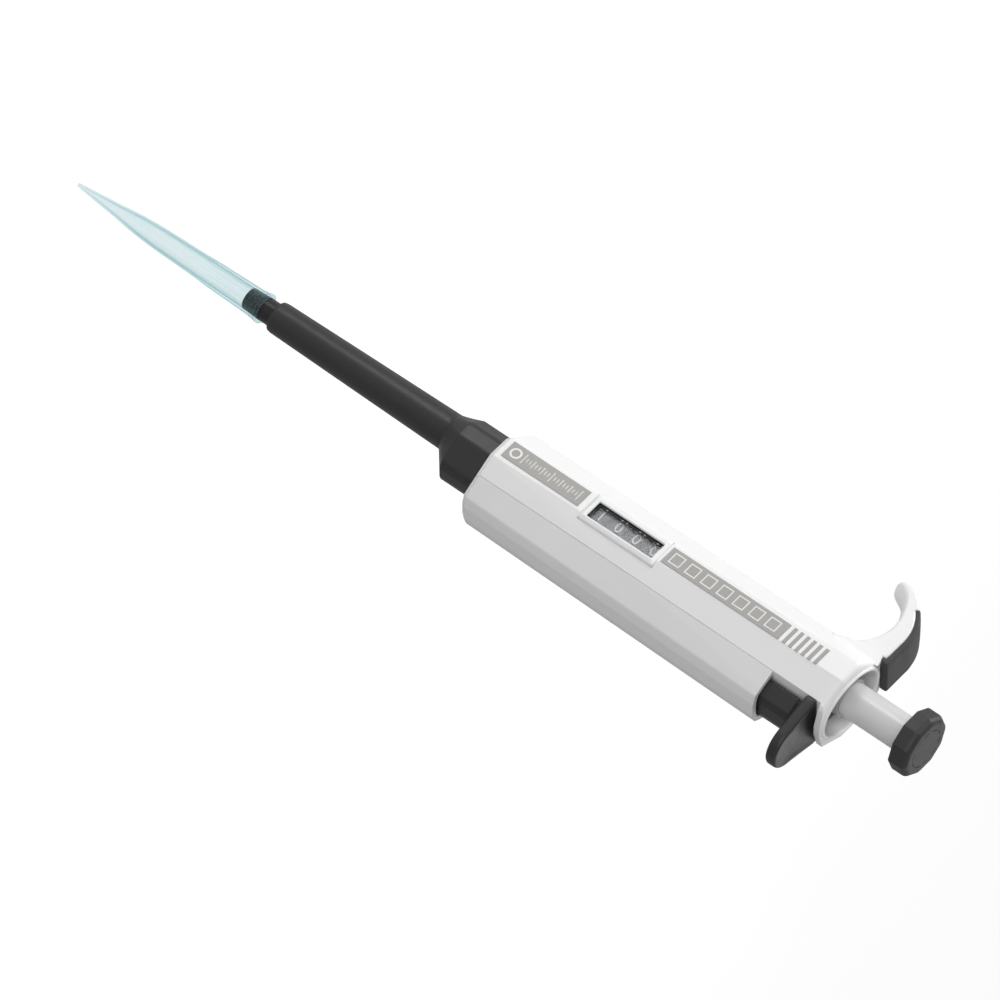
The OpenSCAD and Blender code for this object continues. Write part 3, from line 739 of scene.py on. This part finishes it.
def make_pad():
    """The rubber pad on the hook's back, with a groove inside each edge and a lip over the rim."""
    low, high = box_mm("hook_pad")
    half = high.y
    flat_z = 224.4
    end_x = high.x
    rim = 221.87
    back_r = 16.3

    def section(place, out, depth, crown=0.12):
        half_points = [(half, -depth), (half, -0.45), (half - 0.08, -0.2), (half - 0.3, -0.04), (half - 0.6, 0),
                       (half - 0.95, 0), (half - 1.1, -0.3), (half - 1.3, -0.3), (half - 1.45, 0.03),
                       (half - 2.5, crown * 0.6), (half - 4.5, crown)]
        points = half_points + [(0.0, crown)] + [(-y, lift) for y, lift in reversed(half_points)]
        return [Vector((place.x + out.x * lift, y, place.y + out.y * lift)) for y, lift in points]

    up = Vector((0, 1))
    sections = [section(Vector((end_x, flat_z - 0.35)), up, flat_z - 0.35 - rim, 0.0),
                section(Vector((end_x - 0.1, flat_z - 0.1)), up, flat_z - 0.1 - rim),
                section(Vector((end_x - 0.4, flat_z)), up, flat_z - rim),
                section(Vector((LIP_X + 0.06, flat_z)), up, flat_z - rim),
                section(Vector((LIP_X + 0.02, flat_z)), up, 1.38)]
    sections += [section(Vector((x, flat_z)), up, 1.38) for x in (-14.5, -16.5, -18.5, -19.8)]
    for bend in range(90, 133, 3):
        way = turn(1.0, bend)
        blend = smoothstep(bend, 88, 100)
        sections.append(section(BACK + way * (back_r + 0.15 * (1 - blend)), way, 1.3))
    way = turn(1.0, 133)
    sections.append(section(BACK + way * (back_r - 0.15), way, 1.1))
    way = turn(1.0, 133.8)
    sections.append(section(BACK + way * (back_r - 0.45), way, 0.8, 0.0))
    add_piece("hook_grip", loft(sections), "pad_rubber", "handle", "hook_pad", angle=40)


def make_hook_piece(shell):
    hook = make_hook()
    piece = add_piece("finger_hook", hook, "white_plastic", "handle", angle=50)
    return piece


def make_spring(name, body):
    """A copy of a CAD spring, as a piece with a mesh of its own that rides on a body."""
    coil = bmesh.new()
    coil.from_mesh(nodes[name].data)
    bmesh.ops.scale(coil, vec=(1 / MM, 1 / MM, 1 / MM), verts=coil.verts)
    piece = add_piece(name + "_coil", coil, "steel", body, name)
    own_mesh(piece)


make_push_button()
make_paddle()
make_sleeve()
make_tip()
make_window_frame()
make_digits()
make_label_print()
make_hook_piece(make_shell())
make_mouth_ring()
make_pad()
make_spring("main_spring", "handle")
make_spring("ejector_spring", "handle")

# ---------------------------------------------------------------- stage, light and camera

def camera_axes(azimuth, elevation, roll):
    """Right, up and back directions of a camera, from its angles in degrees."""
    a, e, r = (math.radians(angle) for angle in (azimuth, elevation, roll))
    back = Vector((math.sin(a) * math.cos(e), -math.cos(a) * math.cos(e), math.sin(e)))
    level = Vector((math.cos(a), math.sin(a), 0))
    rise = back.cross(level)
    return math.cos(r) * level + math.sin(r) * rise, math.cos(r) * rise - math.sin(r) * level, back


def make_camera():
    right, up, back = camera_axes(30.0, 22.6, 123.7)
    middle = Vector((0, 0, 91.6 * MM))
    aim = middle + 1.48 * MM * right - 10.88 * MM * up
    data = bpy.data.cameras.new("camera")
    data.lens = 400
    data.sensor_width = 36
    data.clip_start = 0.1
    data.clip_end = 100
    made = bpy.data.objects.new("camera", data)
    place = aim + 3.1504 * back
    made.matrix_world = Matrix.Translation(place) @ Matrix((right, up, back)).transposed().to_4x4()
    bpy.context.scene.collection.objects.link(made)
    bpy.context.scene.camera = made


def area_light(name, direction, distance, size, power, colour=(1, 1, 1)):
    data = bpy.data.lights.new(name, "AREA")
    data.size = size
    data.energy = power
    data.color = colour
    made = bpy.data.objects.new(name, data)
    towards = Vector(direction).normalized()
    made.location = Vector((0, 0, 0.1)) + towards * distance
    made.rotation_mode = "QUATERNION"
    made.rotation_quaternion = (-towards).to_track_quat("-Z", "Y")
    bpy.context.scene.collection.objects.link(made)


def make_stage():
    half, drop = 30.0, 0.35
    mesh = bpy.data.meshes.new("floor")
    low = cad_box[0].z - drop
    mesh.from_pydata([(-half, -half, low), (half, -half, low), (half, half, low), (-half, half, low)],
                     [], [(0, 1, 2, 3)])
    floor = bpy.data.objects.new("floor", mesh)
    bpy.context.scene.collection.objects.link(floor)
    made, tree, out = new_material("floor_paint")
    tone = spread(tree, noise(tree, 3.0), 0.0, 1.0)
    colour = node(tree, "ShaderNodeMix", {"Factor": tone, 6: (0.60, 0.60, 0.60, 1),
                                          7: (0.64, 0.64, 0.64, 1)}, data_type="RGBA")
    seen = node(tree, "ShaderNodeLightPath").outputs["Is Camera Ray"]
    glow = node(tree, "ShaderNodeMath", {0: seen, 1: 0.63}, operation="MULTIPLY")
    shader = node(tree, "ShaderNodeBsdfPrincipled",
                  {"Base Color": colour.outputs[2], "Roughness": 0.8, "Emission Color": (1, 1, 1, 1),
                   "Emission Strength": glow.outputs[0]})
    tree.links.new(shader.outputs[0], out.inputs["Surface"])
    mesh.materials.append(made)


def make_world():
    world = bpy.data.worlds.new("studio")
    world.use_nodes = True
    world.node_tree.nodes["Background"].inputs["Color"].default_value = (1, 1, 1, 1)
    world.node_tree.nodes["Background"].inputs["Strength"].default_value = 0.46
    bpy.context.scene.world = world
    bpy.context.scene.view_settings.view_transform = "Standard"


make_world()
make_stage()
area_light("key", (-0.9, -0.33, 0.36), 1.6, 0.8, 15.5)
area_light("front", (0.5, -1.0, 0.35), 1.8, 1.4, 9)
area_light("back", (-0.5, 0.9, 0.55), 1.5, 0.9, 1.6)
area_light("low", (-0.36, -0.86, -0.36), 1.3, 0.42, 4.0)
make_camera()
